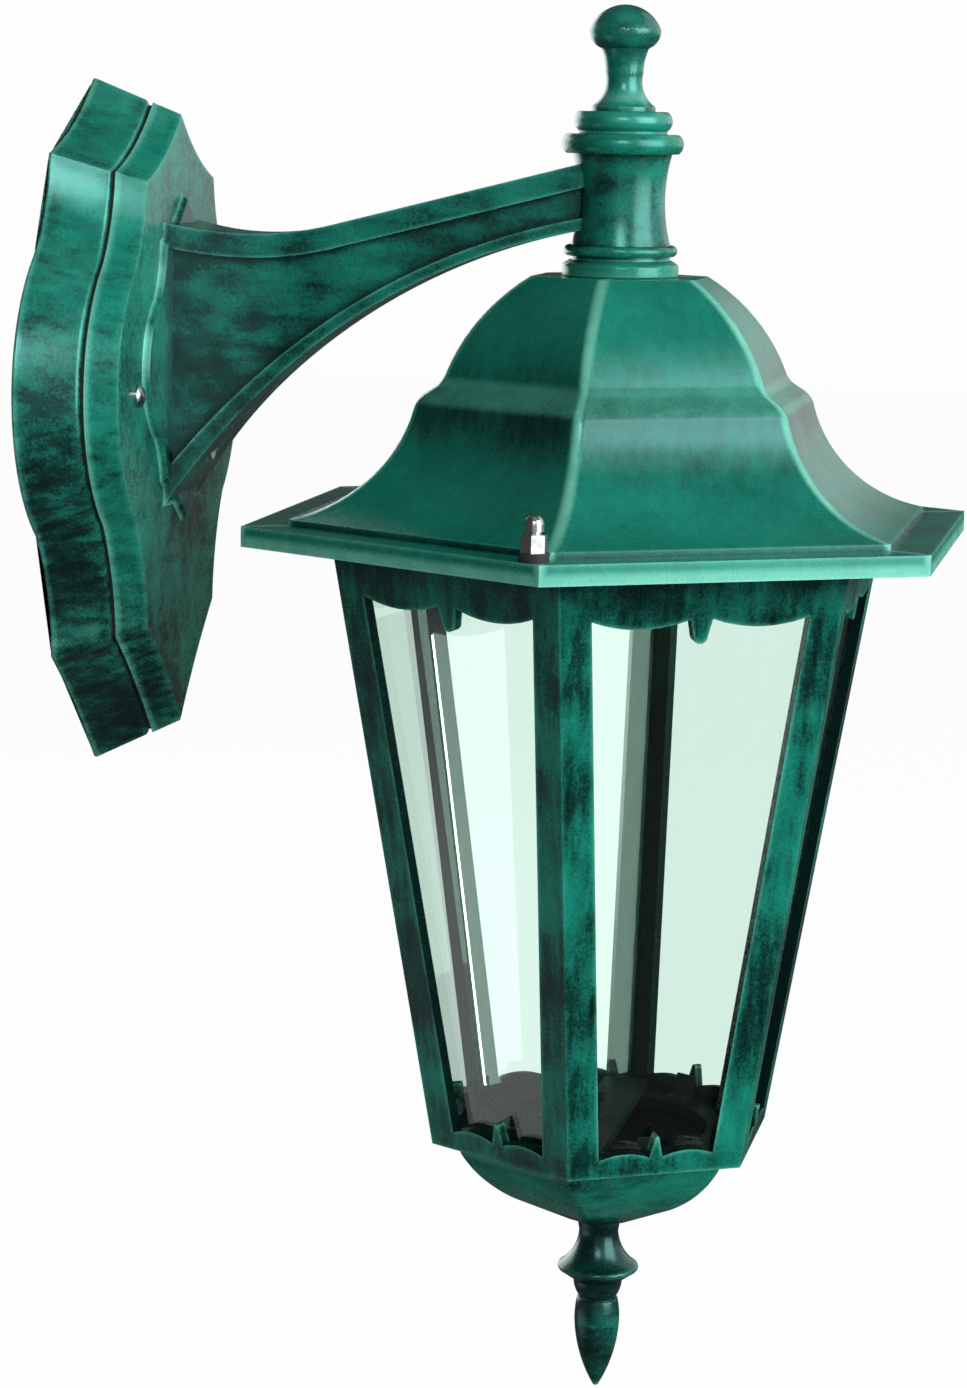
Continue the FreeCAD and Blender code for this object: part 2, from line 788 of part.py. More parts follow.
arm_beam = common("arm_beam", arm_side, arm_plan("arm_plan", 0))
arm_recess = cut("arm_recess", recess_side, arm_plan("arm_web_plan", s.arm_recess_depth))
hub = on_axis(turned("arm_hub", [
    (0, hub_foot),
    (s.hub_neck_radius, hub_foot),
    (s.hub_neck_radius, hub_ring_foot, (s.hub_ring_radius, hub_ring_foot + s.hub_ring_height / 2)),
    (s.hub_vase_radius, hub_vase_foot, (s.hub_waist_radius, hub_vase_foot + s.hub_vase_height / 2)),
    (s.hub_vase_radius, hub_crown_foot),
    (s.hub_crown_radius - s.hub_crown_height / 4, hub_crown_foot,
     (s.hub_crown_radius, hub_crown_foot + s.hub_crown_height / 2)),
    (s.hub_crown_radius - s.hub_crown_height / 4, hub_top),
    (0, hub_top),
]))
hub_bore = on_axis(rod("hub_bore", neck_bore_radius, 2 * hub_top))
bore_slope = s.wire_bore_rise / (s.axis_reach - plate_front)
bore_climb = atan(bore_slope)
wire_bore = rod("wire_bore", s.wire_bore_radius, (s.axis_reach - plate_front) / cos(bore_climb),
                y=-plate_front, z=s.wire_bore_level, turn=Rotation(Vector(1, 0, 0), 90 - value(bore_climb)))
wire_bore.setExpression("Placement.Rotation.Angle", bound(Size(90, "90 deg") - bore_climb))
bolt_bores = [
    rod("arm_bolt_bore", s.arm_bolt_radius + s.thread_gap, plate_front + s.arm_bolt_reach + s.slip_gap,
        z=s.arm_bolt_level + side * s.arm_bolt_spacing / 2, turn=toward_front)
    for side in (-1, 1)
]
arm_casting = fuse("arm_casting", cut("arm_panelled", arm_beam, arm_recess), foot, hub)
nodes["arm"] = cut("arm", arm_casting, hub_bore, wire_bore, *bolt_bores)

# turned pieces on the neck
nodes["neck_collar"] = on_axis(turned("neck_collar", [
    (neck_bore_radius, s.roof_top),
    (s.collar_radius, s.roof_top),
    (s.collar_radius, s.roof_top + s.collar_band),
    (s.collar_neck_radius, hub_foot),
    (neck_bore_radius, hub_foot),
]))
nodes["top_finial"] = on_axis(turned("top_finial", [
    (neck_bore_radius, hub_top),
    (s.finial_joint_radius, hub_top),
    (s.finial_joint_radius, finial_skirt_foot,
     (s.finial_skirt_radius, finial_skirt_foot + s.finial_skirt_height / 2)),
    (s.finial_joint_radius, finial_skirt_top),
    (s.finial_foot_radius, finial_skirt_top),
    (s.finial_foot_radius, finial_foot_top,
     (s.finial_sweep_radius, finial_foot_top + s.finial_sweep_rise)),
    (s.finial_waist_radius, finial_waist_level,
     (s.finial_throat_radius, finial_waist_level + s.finial_neck_height / 2)),
    (s.finial_neck_radius, finial_neck_level,
     (s.finial_cheek_radius, finial_ball_level - s.finial_cheek_drop)),
    *cap(s.finial_ball_radius, finial_ball_level, s.finial_ball_above),
    (0, hub_top + s.finial_bore_depth),
    (neck_bore_radius, hub_top + s.finial_bore_depth),
]))
nipple_foot = roof_nut_foot - s.holder_boss_height
nodes["threaded_nipple"] = on_axis(turned("threaded_nipple", [
    (s.nipple_bore_radius, nipple_foot),
    (s.nipple_radius, nipple_foot),
    (s.nipple_radius, hub_top + s.finial_bore_depth - s.slip_gap),
    (s.nipple_bore_radius, hub_top + s.finial_bore_depth - s.slip_gap),
]))


# roof: bell of six panels, one wall thick, with a stepped dome, flat rim and drip lip
def roof_section(inset, bottom):
    def at(half, drop):
        return half - inset, s.roof_top - drop - inset

    return [
        (*at(s.roof_top_half, 0), at(s.roof_bulge_half, s.roof_bulge_drop)),
        at(s.roof_dome_half, s.roof_dome_drop),
        (*at(s.roof_step_half, s.roof_step_drop), at(s.roof_sweep_half, s.roof_sweep_drop)),
        at(s.roof_skirt_half, s.roof_skirt_drop),
        at(s.roof_skirt_half, s.roof_rim_drop),
        at(s.roof_eave_half, s.roof_rim_drop),
        (s.roof_eave_half - inset, bottom),
    ]


roof_outside = bell("roof_outside", roof_section(0, roof_bottom), s.roof_eave_half)
roof_inside = bell("roof_inside", roof_section(s.roof_wall, roof_bottom - s.slip_gap), s.roof_eave_half)
neck_hole = on_axis(rod("roof_neck_hole", neck_bore_radius, 2 * s.roof_top))
stud_places = [(side * s.stud_circle_radius, s.stud_side_offset - s.axis_reach) for side in (-1, 1)]


def stud_holes(name):
    low = roof_bottom - s.roof_rim_drop / 2
    return [rod(name, s.stud_radius + s.slip_gap, s.roof_rim_drop, x, y, low) for x, y in stud_places]


nodes["roof"] = cut("roof", roof_outside, roof_inside, neck_hole, *stud_holes("roof_stud_hole"))

# nuts that hold the cage up against the roof's rim
studs, washers, acorns = [], [], []
stud_grip = s.roof_wall + s.cage_flange_thickness + s.nut_washer_thickness
stud_length = stud_grip + s.acorn_bore_depth - s.slip_gap
dome_foot = s.acorn_body_height + s.acorn_neck_height
for x, y in stud_places:
    studs.append(rod("cage_stud", s.stud_radius, stud_length, x, y, cage_top))
    washers.append(place(turned("nut_washer", [
        (s.stud_radius + s.slip_gap, 0),
        (s.nut_washer_radius, 0),
        (s.nut_washer_radius, s.nut_washer_thickness),
        (s.stud_radius + s.slip_gap, s.nut_washer_thickness),
    ]), x, y, roof_rim))
    acorn = turned("acorn_nut", [
        (0, s.acorn_body_height),
        (s.acorn_neck_radius, s.acorn_body_height),
        (s.acorn_neck_radius, dome_foot),
        (s.acorn_dome_radius, dome_foot),
        *cap(s.acorn_dome_radius, dome_foot + s.acorn_dome_band, s.acorn_dome_radius),
    ])
    acorn_flats = add_sketch(acorn, "XY_Plane")
    draw_hexagon(acorn_flats, s.acorn_radius)
    pad(acorn, acorn_flats, s.acorn_body_height)
    acorn_bore = add_sketch(acorn, "XY_Plane")
    draw_circle(acorn_bore, s.stud_radius + s.thread_gap)
    pocket(acorn, acorn_bore, 2 * s.acorn_bore_depth)
    acorns.append(place(acorn, x, y, roof_rim + s.nut_washer_thickness))
nodes["cage_studs"] = group("cage_studs", studs)
nodes["nut_washers"] = group("nut_washers", washers)
nodes["acorn_nuts"] = group("acorn_nuts", acorns)

# nipple nut and lampholder, hung inside the dome
nodes["roof_washer"] = on_axis(turned("roof_washer", [
    (neck_bore_radius, roof_washer_foot),
    (s.roof_washer_radius, roof_washer_foot),
    (s.roof_washer_radius, roof_ceiling),
    (neck_bore_radius, roof_ceiling),
]))
roof_nut = start_body("roof_nut")
nut_flats = add_sketch(roof_nut, "XY_Plane", roof_nut_foot)
draw_hexagon(nut_flats, s.roof_nut_radius)
draw_circle(nut_flats, neck_bore_radius)
pad(roof_nut, nut_flats, s.roof_nut_height)
nodes["roof_nut"] = on_axis(roof_nut)

cap_shoulder = roof_nut_foot - s.holder_boss_height
cap_hollow = s.holder_radius - 2 * s.holder_wall
nodes["holder_cap"] = on_axis(turned("holder_cap", [
    (neck_bore_radius, roof_nut_foot),
    (s.holder_boss_radius, roof_nut_foot),
    (s.holder_boss_radius, cap_shoulder),
    (s.holder_radius, holder_cap_foot + s.holder_wall),
    (s.holder_radius, holder_cap_foot),
    (cap_hollow, holder_cap_foot),
    (s.holder_boss_radius - s.holder_wall / 2, cap_shoulder - s.holder_wall),
    (neck_bore_radius, cap_shoulder - s.holder_wall),
]))
nodes["holder_skirt"] = on_axis(turned("holder_skirt", [
    (s.holder_radius - s.holder_wall, holder_foot),
    (s.holder_radius, holder_foot),
    (s.holder_radius, holder_cap_foot),
    (s.holder_radius - s.holder_wall, holder_cap_foot),
]))
core_radius = s.holder_radius - s.holder_wall - s.slip_gap
contact_top = holder_core_foot + s.contact_height
nodes["holder_core"] = on_axis(turned("holder_core", [
    (0, contact_top),
    (s.contact_radius + s.slip_gap, contact_top),
    (s.contact_radius + s.slip_gap, holder_core_foot),
    (core_radius, holder_core_foot),
    (core_radius, holder_cap_foot),
    (0, holder_cap_foot),
]))
socket_foot = holder_core_foot - s.socket_length
nodes["screw_shell"] = on_axis(turned("screw_shell", [
    (s.socket_radius, socket_foot),
    (s.socket_radius + 2 * s.socket_wall, socket_foot),
    (s.socket_radius + 2 * s.socket_wall, socket_foot + s.socket_wall),
    (s.socket_radius + s.socket_wall, socket_foot + 2 * s.socket_wall),
    (s.socket_radius + s.socket_wall, holder_core_foot),
    (s.socket_radius, holder_core_foot),
]))
nodes["centre_contact"] = on_axis(turned("centre_contact", [
    (0, holder_core_foot),
    (s.contact_tip_radius, holder_core_foot),
    (s.contact_radius, holder_core_foot + s.contact_height / 2),
    (s.contact_radius, contact_top),
    (0, contact_top),
]))

# cage: leaning walls, top flange under the roof's rim, six windows with scalloped edges
cage = start_body("cage_casting")


def hexagon_loft(kind, levels):
    outlines = []
    for radius, level in levels:
        outline = add_sketch(cage, "XY_Plane", level)
        draw_hexagon(outline, radius)
        outlines.append(outline)
    loft(cage, kind, *outlines)


hexagon_loft("PartDesign::AdditiveLoft", (
    (s.cage_top_radius, cage_top),
    (s.cage_bottom_radius, cage_bottom),
))
flange = add_sketch(cage, "XY_Plane", cage_top)
draw_hexagon(flange, cage_flange_half / cos(30))
pad(cage, flange, s.cage_flange_thickness)
inner_step = s.cage_wall / (cos(30) * cos(face_lean))
hexagon_loft("PartDesign::SubtractiveLoft", (
    (s.cage_top_radius + cage_taper * s.cage_flange_thickness - inner_step, cage_flange_top),
    (s.cage_bottom_radius + cage_taper * s.cage_floor - inner_step, cage_floor_top),
))
floor_hole = add_sketch(cage, "XY_Plane", cage_bottom)
draw_circle(floor_hole, s.cage_floor_hole_radius)
pocket(cage, floor_hole, 3 * s.cage_floor)


def add_face_sketch(body, depth=0):
    """Sketch on the leaning face that looks along -Y, a depth inside it. Its origin is the middle
    of the face's top edge and v runs up the slope."""
    sketch = add_sketch(body, "XZ_Plane", s.cage_top_radius * cos(30) - depth * cos(face_lean))
    sketch.AttachmentOffset = Placement(sketch.AttachmentOffset.Base, Rotation(Vector(1, 0, 0), 10))
    sketch.setExpression("AttachmentOffset.Base.y", bound(cage_top + depth * sin(face_lean)))
    sketch.setExpression("AttachmentOffset.Rotation.Angle", bound(face_lean))
    return sketch


def face_half(v, side_gap):
    return s.cage_top_radius / 2 + v * face_taper - side_gap


window = add_face_sketch(cage)
head_v, sill_v = -s.apron_height, s.rail_height - face_length
head_half, sill_half = face_half(head_v, s.post_width), face_half(sill_v, s.post_width)
pendant_tip = head_v - s.pendant_drop
draw(window, mirrored([
    (0, pendant_tip, (s.pendant_tip_half * sin(45), pendant_tip + s.pendant_tip_half * (1 - cos(45)))),
    (s.pendant_tip_half, pendant_tip + s.pendant_tip_half),
    (s.pendant_half, head_v, ((head_half + s.pendant_half) / 2, head_v - s.scallop_sag)),
    (head_half, head_v),
    (sill_half, sill_v, ((sill_half + s.spike_half) / 2, sill_v + s.rail_sag)),
    (s.spike_half, sill_v),
    (s.spike_tip_half, sill_v + s.spike_rise),
    (0, sill_v + s.spike_rise + s.spike_tip_half),
]))
around_axis(cage, pocket(cage, window, 4 * s.cage_wall))
nodes["cage"] = cut("cage", on_axis(cage), *stud_holes("cage_stud_hole"))

# six panes that stand on the cage's floor inside its walls, and the clips behind them
pane_foot = (s.cage_floor - s.cage_height) / cos(face_lean) + s.glass_thickness * cage_taper
pane_head = s.glass_head - s.apron_height
foot_half, head_half = face_half(pane_foot, s.glass_side_gap), face_half(pane_head, s.glass_side_gap)
clip_face = (pane_depth + s.glass_thickness + s.slip_gap) / cos(face_lean) - s.cage_bottom_radius * cos(30)


def clip_corner(height, depth):
    """Corner of a clip's side, a height over the floor and a depth behind the leaning pane."""
    return clip_face + depth - (s.cage_floor + height) * tan(face_lean), cage_floor_top + height


clips = []
for step, turn in enumerate(hexagon_turns, start=1):
    pane = start_body("glass_pane")
    pane_sketch = add_face_sketch(pane, pane_depth + s.glass_thickness)
    draw(pane_sketch, [
        (-foot_half, pane_foot), (foot_half, pane_foot),
        (head_half, pane_head), (-head_half, pane_head),
    ])
    pad(pane, pane_sketch, s.glass_thickness)
    nodes[f"glass_pane_{step}"] = on_axis(pane, turn)
    clip = plate("glass_clip", "YZ_Plane", [
        clip_corner(0, 0), clip_corner(0, s.clip_foot), clip_corner(s.clip_thickness, s.clip_foot),
        clip_corner(s.clip_thickness, s.clip_thickness), clip_corner(s.clip_upright, s.clip_thickness),
        clip_corner(s.clip_upright, 0),
    ], s.clip_width, symmetric=True)
    clips.append(on_axis(clip, turn))
nodes["glass_clips"] = group("glass_clips", clips)


# base dish under the cage, clamped by the stud between the bridge bar and the bottom finial
def dish_section(inset, top):
    def at(half, drop):
        return half - inset, cage_bottom - drop + inset

    return [
        (s.dish_half - inset, top),
        (s.dish_half - inset, cage_bottom - s.dish_band,
         at(s.dish_turn_half, s.dish_turn_drop)),
        at(s.dish_knee_half, s.dish_knee_drop),
        at(s.dish_boss_half, s.dish_depth),
    ]


dish_outside = bell("dish_outside", dish_section(0, cage_bottom), s.dish_half)
dish_inside = bell("dish_inside", dish_section(s.dish_wall, cage_bottom + s.slip_gap), s.dish_half)
dish_hole = rod("dish_hole", base_bore_radius, s.dish_depth, y=-s.axis_reach, z=dish_bottom - s.dish_wall)
nodes["base_dish"] = cut("base_dish", dish_outside, dish_inside, dish_hole)

bridge_end, bridge_edge = s.bridge_half_length, s.bridge_width / 2
bridge = plate("base_bridge", "XY_Plane", [
    (-bridge_end, -bridge_edge), (bridge_end, -bridge_edge),
    (bridge_end, bridge_edge), (-bridge_end, bridge_edge),
], s.bridge_thickness, offset=cage_floor_top)
bridge_hole = add_sketch(bridge, "XY_Plane", cage_floor_top)
draw_circle(bridge_hole, base_bore_radius)
pocket(bridge, bridge_hole)
nodes["base_bridge"] = on_axis(bridge)

bridge_nut = start_body("bridge_nut")
nut_flats = add_sketch(bridge_nut, "XY_Plane", bridge_top)
draw_hexagon(nut_flats, s.bridge_nut_radius)
draw_circle(nut_flats, base_bore_radius)
pad(bridge_nut, nut_flats, s.bridge_nut_height)
nodes["bridge_nut"] = on_axis(bridge_nut)

stud_foot = dish_bottom - s.base_stud_reach
nodes["base_stud"] = on_axis(turned("base_stud", [
    (0, stud_foot),
    (s.base_stud_radius, stud_foot),
    (s.base_stud_radius, bridge_top + s.bridge_nut_height + s.base_stud_radius),
    (0, bridge_top + s.bridge_nut_height + s.base_stud_radius),
]))


def drop(radius, below):
    """Corner of the bottom finial, a distance below the dish."""
    return radius, dish_bottom - below


ring_middle, ring_foot = s.drop_ring_drop + s.drop_ring_band / 2, s.drop_ring_drop + s.drop_ring_band
ring_swell = s.drop_ring_radius + s.drop_ring_swell
cup_middle = (s.drop_cup_drop + s.drop_waist_drop) / 2
cup_swell = (s.drop_cup_radius + s.drop_waist_radius) / 2 + s.drop_cup_swell
spike_root = s.drop_waist_drop + s.drop_waist_band
nodes["bottom_finial"] = on_axis(turned("bottom_finial", [
    drop(base_bore_radius, 0),
    drop(s.drop_collar_radius, 0),
    (*drop(s.drop_neck_radius, s.drop_neck_drop), drop(s.drop_flare_radius, s.drop_flare_drop)),
    (*drop(s.drop_ring_radius, s.drop_ring_drop), drop(ring_swell, ring_middle)),
    drop(s.drop_ring_radius, ring_foot),
    (*drop(s.drop_cup_radius, s.drop_cup_drop), drop(cup_swell, cup_middle)),
    drop(s.drop_waist_radius, s.drop_waist_drop),
    drop(s.drop_waist_radius, spike_root),
    (*drop(s.drop_spike_root, spike_root), drop(s.drop_spike_cheek, (spike_root + s.drop_spike_drop) / 2)),
    (*drop(s.drop_spike_radius, s.drop_spike_drop), drop(s.drop_ogive_radius, s.drop_ogive_drop)),
    drop(s.drop_tip_radius, s.drop_length),
    drop(0, s.drop_length),
    (0, stud_foot - s.slip_gap),
    (base_bore_radius, stud_foot - s.slip_gap),
]))

doc.recompute()

failed = [thing.Name for thing in doc.Objects if {"Invalid", "Error"} & set(thing.State)]
if failed:
    raise RuntimeError("objects that failed: " + ", ".join(failed))
for label, piece in nodes.items():
    if piece.Shape.isNull() or not piece.Shape.isValid():
        raise RuntimeError("no valid shape: " + label)

os.makedirs("parts", exist_ok=True)
for label, piece in nodes.items():
    piece.Label = label
    piece.Shape.exportStep(f"parts/{label}.step")
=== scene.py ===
import json
import math
import bpy
from mathutils import Matrix, Vector


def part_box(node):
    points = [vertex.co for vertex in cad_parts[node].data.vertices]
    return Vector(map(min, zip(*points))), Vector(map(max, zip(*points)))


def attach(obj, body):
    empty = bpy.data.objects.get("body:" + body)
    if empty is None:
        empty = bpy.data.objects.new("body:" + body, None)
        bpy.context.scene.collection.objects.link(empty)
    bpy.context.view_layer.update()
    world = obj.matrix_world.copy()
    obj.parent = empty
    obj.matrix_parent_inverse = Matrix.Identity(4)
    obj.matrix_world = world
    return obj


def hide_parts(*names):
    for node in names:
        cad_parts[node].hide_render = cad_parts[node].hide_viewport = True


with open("model.json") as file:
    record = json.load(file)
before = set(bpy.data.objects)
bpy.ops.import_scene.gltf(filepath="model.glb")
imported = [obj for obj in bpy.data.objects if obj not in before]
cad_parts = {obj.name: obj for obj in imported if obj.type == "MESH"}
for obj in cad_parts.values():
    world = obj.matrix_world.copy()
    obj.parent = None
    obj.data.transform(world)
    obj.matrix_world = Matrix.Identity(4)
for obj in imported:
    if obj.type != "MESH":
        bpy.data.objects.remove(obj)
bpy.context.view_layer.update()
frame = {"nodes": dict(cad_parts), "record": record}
mm = 0.001
roofLow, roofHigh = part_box("roof")
axisReach = (roofLow[1] + roofHigh[1]) / 2 / mm  # the lantern's axis, millimetres in front of the wall
print("frame loaded:", len(frame["nodes"]), "nodes")


class Wire:  # wraps an output socket, so that sums on it add Math nodes
    def __init__(self, tree, socket=None):
        self.tree = tree
        self.socket = socket

    def node(self, kind, settings=None, inputs=None, output=0):
        made = self.tree.nodes.new(kind)
        for name, value in (settings or {}).items():
            if name == "stops":
                self.setStops(made.color_ramp, value)
            else:
                setattr(made, name, value)
        for name, value in (inputs or {}).items():
            if isinstance(value, Wire):
                self.tree.links.new(value.socket, made.inputs[name])
            else:
                made.inputs[name].default_value = value
        return Wire(self.tree, made.outputs[output] if made.outputs else None)

    def setStops(self, ramp, stops):
        for place, shade in stops[1:-1]:
            ramp.elements.new(place)
        for element, (place, shade) in zip(ramp.elements, stops):
            element.position = place
            element.color = (shade, shade, shade, 1)

    def maths(self, operation, *others):  # this wire is the first value
        return self.node("ShaderNodeMath", {"operation": operation}, dict(enumerate((self, *others))))

    def __add__(self, other):
        return self.maths("ADD", other)

    def __sub__(self, other):
        return self.maths("SUBTRACT", other)

    def __rsub__(self, other):
        return self.node("ShaderNodeMath", {"operation": "SUBTRACT"}, {0: other, 1: self})

    def __mul__(self, other):
        return self.maths("MULTIPLY", other)

    __radd__ = __add__
    __rmul__ = __mul__

    def most(self, other):
        return self.maths("MAXIMUM", other)

    def limited(self):  # kept between 0 and 1
        return self.node("ShaderNodeClamp", {}, {"Value": self})

    def vector(self, operation, other=(0, 0, 0), output="Vector"):
        return self.node("ShaderNodeVectorMath", {"operation": operation}, {0: self, 1: other}, output)

    def along(self, axis):
        return self.node("ShaderNodeSeparateXYZ", {}, {0: self}, axis)

    def ramp(self, *stops, low=0, high=1):  # each stop is a place, counted from low to high, and a shade
        share = self if (low, high) == (0, 1) else (self - low) * (1 / (high - low))
        scaled = [((place - low) / (high - low), shade) for place, shade in stops]
        return self.node("ShaderNodeValToRGB", {"stops": scaled}, {"Fac": share})

    def mix(self, under, over):  # this wire is the share of the colour over
        inputs = {0: self, 6: solid(under), 7: solid(over)}  # sockets 6 and 7 take colours
        return self.node("ShaderNodeMix", {"data_type": "RGBA"}, inputs, 2)

    def mixShader(self, under, over):  # this wire is the share of the shader over
        return self.node("ShaderNodeMixShader", {}, {0: self, 1: under, 2: over})


def solid(colour):  # a colour given as three numbers gets its alpha
    return colour if isinstance(colour, Wire) else (*colour, 1)


def newMaterial(name):
    material = bpy.data.materials.new(name)
    material.use_nodes = True
    material.node_tree.nodes.clear()
    return material, Wire(material.node_tree)


def finishMaterial(material, start, surface):
    start.node("ShaderNodeOutputMaterial", {}, {"Surface": surface})
    return material


def millimetres(start):  # object coordinates counted in millimetres
    return start.node("ShaderNodeTexCoord", {}, {}, "Object").vector("MULTIPLY", (1 / mm, 1 / mm, 1 / mm))


def noise(place, size, detail=4.0, roughness=0.55, stretch=(1, 1, 1)):  # size in millimetres
    drawn = place.vector("MULTIPLY", stretch)
    inputs = {"Vector": drawn, "Scale": 1 / size, "Detail": detail, "Roughness": roughness}
    return place.node("ShaderNodeTexNoise", {}, inputs)


def bumpFrom(height, distance, strength):  # distance in millimetres
    inputs = {"Height": height, "Distance": distance * mm, "Strength": strength}
    return height.node("ShaderNodeBump", {}, inputs)


def ray(start, kind):
    return start.node("ShaderNodeLightPath", {}, {}, kind)


# green patina, brushed by hand over black: green on edges and raised parts, black in corners
patina = {
    "black": (0.0012, 0.0085, 0.0082),
    "deep": (0.0028, 0.0600, 0.0440),
    "green": (0.0055, 0.2000, 0.1380),
    "mint": (0.2200, 0.5900, 0.4600),
    "mintShare": 0.7,
    "deepFrom": ((0.05, 0), (0.55, 1)),  # how far the brush must rub for each colour to show
    "greenFrom": ((0.3, 0), (0.95, 1)),
    "wornFrom": ((0.2, 0), (0.7, 1)),  # how sharp an edge must be to show mint
    "sheen": (0.40, 1.0, 0.93),  # tint of what the paint mirrors
    "roughness": 0.27,
    "edgeGain": 0.6,  # green gained on edges and ridges
    "cornerLoss": 1.2,
    # painted shade: how much darker the inside of the cage is painted
    "insideShadeLoss": 2.0,
    "lowPaintedShade": ((-80, 1), (10, 0)),  # painted shade: heights in millimetres between which the wall plate darkens downwards
    "lowSpan": 100,
}
inside = {  # painted shade inside the cage: slopes of faces that look to the axis, and of the cage's floor
    "inward": ((-0.1, 0), (-0.5, 1)),
    "upward": ((0.6, 0), (0.9, 1)),
    "floor": ((-120, 0), (-140, 1)),  # heights in millimetres
    "floorSpan": -200,
}
brushMarks = {  # size in millimetres, detail, harshness and weight in the paint
    "clouds": (34, 2, 0.45, 1.7),
    "blotches": (8, 3, 0.5, 0.6),
    "strokes": (2.6, 4, 0.6, 1.2),
    "grain": (0.8, 2, 0.6, 0.6),
}
roofPaint = {  # where the roof's paint is rubbed pale, and where painted shade darkens it under the step: millimetres and shares
    "hip": ((0.5, 1), (2.0, 0)),  # distances from a hip
    "hipSpan": 10,
    "step": ((-1.2, 0), (0.4, 1), (5.28, 1), (7.2, 0)),  # heights, as in the next two
    "stepShare": 0.45,
    # the lip: rubbed pale as wear, and a painted highlight along it
    "lip": ((-34.4, 1), (-32.64, 0)),
    "lipShare": 0.9,
    # painted shade: heights of the dark band under the step
    "shade": ((-20, 0), (-0.8, 1), (5.6, 0.5), (17.6, 0)),
    "paintedShadeShare": 0.52,
    "heightSpan": 40,
}
acrossPlate = (1, 0.12, 1)  # brush strokes are drawn out along the axis with the smallest share
alongArm = (1, 0.12, 0.6)
downPanel = (1, 1, 0.1)
roundDish = (0.3, 0.3, 1)
roundTurning = (0.2, 0.2, 1)
enamels = {  # cover is the share of green; edge and corner are reaches in millimetres, pale and dark
    "wall_box": {"cover": 0.54, "mottle": 1.0, "edge": 2.2, "corner": 11, "brush": acrossPlate,
                 "gloss": 0.9, "lowPaintedShade": 0.26},
    "front_plate": {"cover": 0.73, "mottle": 1.0, "edge": 2.2, "corner": 11, "brush": acrossPlate,
                    "gloss": 0.5, "lowPaintedShade": 0.36},
    "arm": {"cover": 0.56, "mottle": 1.0, "edge": 1.1, "corner": 17, "brush": alongArm, "gloss": 0.75},
    "neck_collar": {"cover": 0.63, "mottle": 0.9, "edge": 2.6, "corner": 18, "brush": roundTurning,
                    "gloss": 0.9},
    "top_finial": {"cover": 0.70, "mottle": 0.9, "edge": 2.6, "corner": 26, "brush": roundTurning,
                   "gloss": 1.0},
    "roof": {"cover": 0.72, "mottle": 0.4, "edge": 1.4, "corner": 11, "brush": downPanel, "gloss": 0.72,
             "hollow": True, "ridges": True},
    "cage": {"cover": 0.40, "mottle": 0.9, "edge": 1.4, "corner": 11, "brush": downPanel, "gloss": 0.2,
             "hollow": True},
    "base_dish": {"cover": 0.56, "mottle": 0.9, "edge": 1.4, "corner": 11, "brush": roundDish, "gloss": 0.4,
                  "hollow": True},
    "bottom_finial": {"cover": 0.34, "mottle": 0.8, "edge": 2.0, "corner": 16, "brush": roundTurning,
                      "gloss": 0.7},
}


def fromAxis(place):  # level offset from the lantern's axis
    return place.vector("SUBTRACT", (0, axisReach, 0)).vector("MULTIPLY", (1, 1, 0))


# painted shade inside the cage: 1 on faces that look to the lantern's axis, and on the cage's floor
def paintedInsideShade(start, place):
    outward = fromAxis(place).vector("NORMALIZE")
    facing = start.node("ShaderNodeNewGeometry", {}, {}, "True Normal")
    inward = outward.vector("DOT_PRODUCT", facing, "Value").ramp(*inside["inward"], high=-1)
    upward = facing.along("Z").ramp(*inside["upward"])
    floor = place.along("Z").ramp(*inside["floor"], high=inside["floorSpan"])
    return inward.most(upward * floor)


def roofRidges(place):  # share rubbed pale on hips and step, and on the lip as wear with a painted highlight, and share of painted shade under the step
    offset = fromAxis(place)
    halfPanel = math.radians(30)
    angle = offset.along("Y").maths("ARCTAN2", offset.along("X"))
    turned = angle.maths("WRAP", halfPanel, -halfPanel).maths("ABSOLUTE")
    fromHip = turned * offset.vector("LENGTH", output="Value")
    hip = fromHip.ramp(*roofPaint["hip"], high=roofPaint["hipSpan"])
    span = {"low": -roofPaint["heightSpan"], "high": roofPaint["heightSpan"]}
    height = place.along("Z")
    step = height.ramp(*roofPaint["step"], **span) * roofPaint["stepShare"]
    lip = height.ramp(*roofPaint["lip"], **span) * roofPaint["lipShare"]
    shade = height.ramp(*roofPaint["shade"], **span) * roofPaint["paintedShadeShare"]
    return hip.most(step).most(lip), shade


def closeness(start, reach, within):  # high at outer edges if measured within the metal, else in corners
    settings = {"samples": 4, "only_local": True, "inside": within}
    return 1 - start.node("ShaderNodeAmbientOcclusion", settings, {"Distance": reach * mm}, "AO")


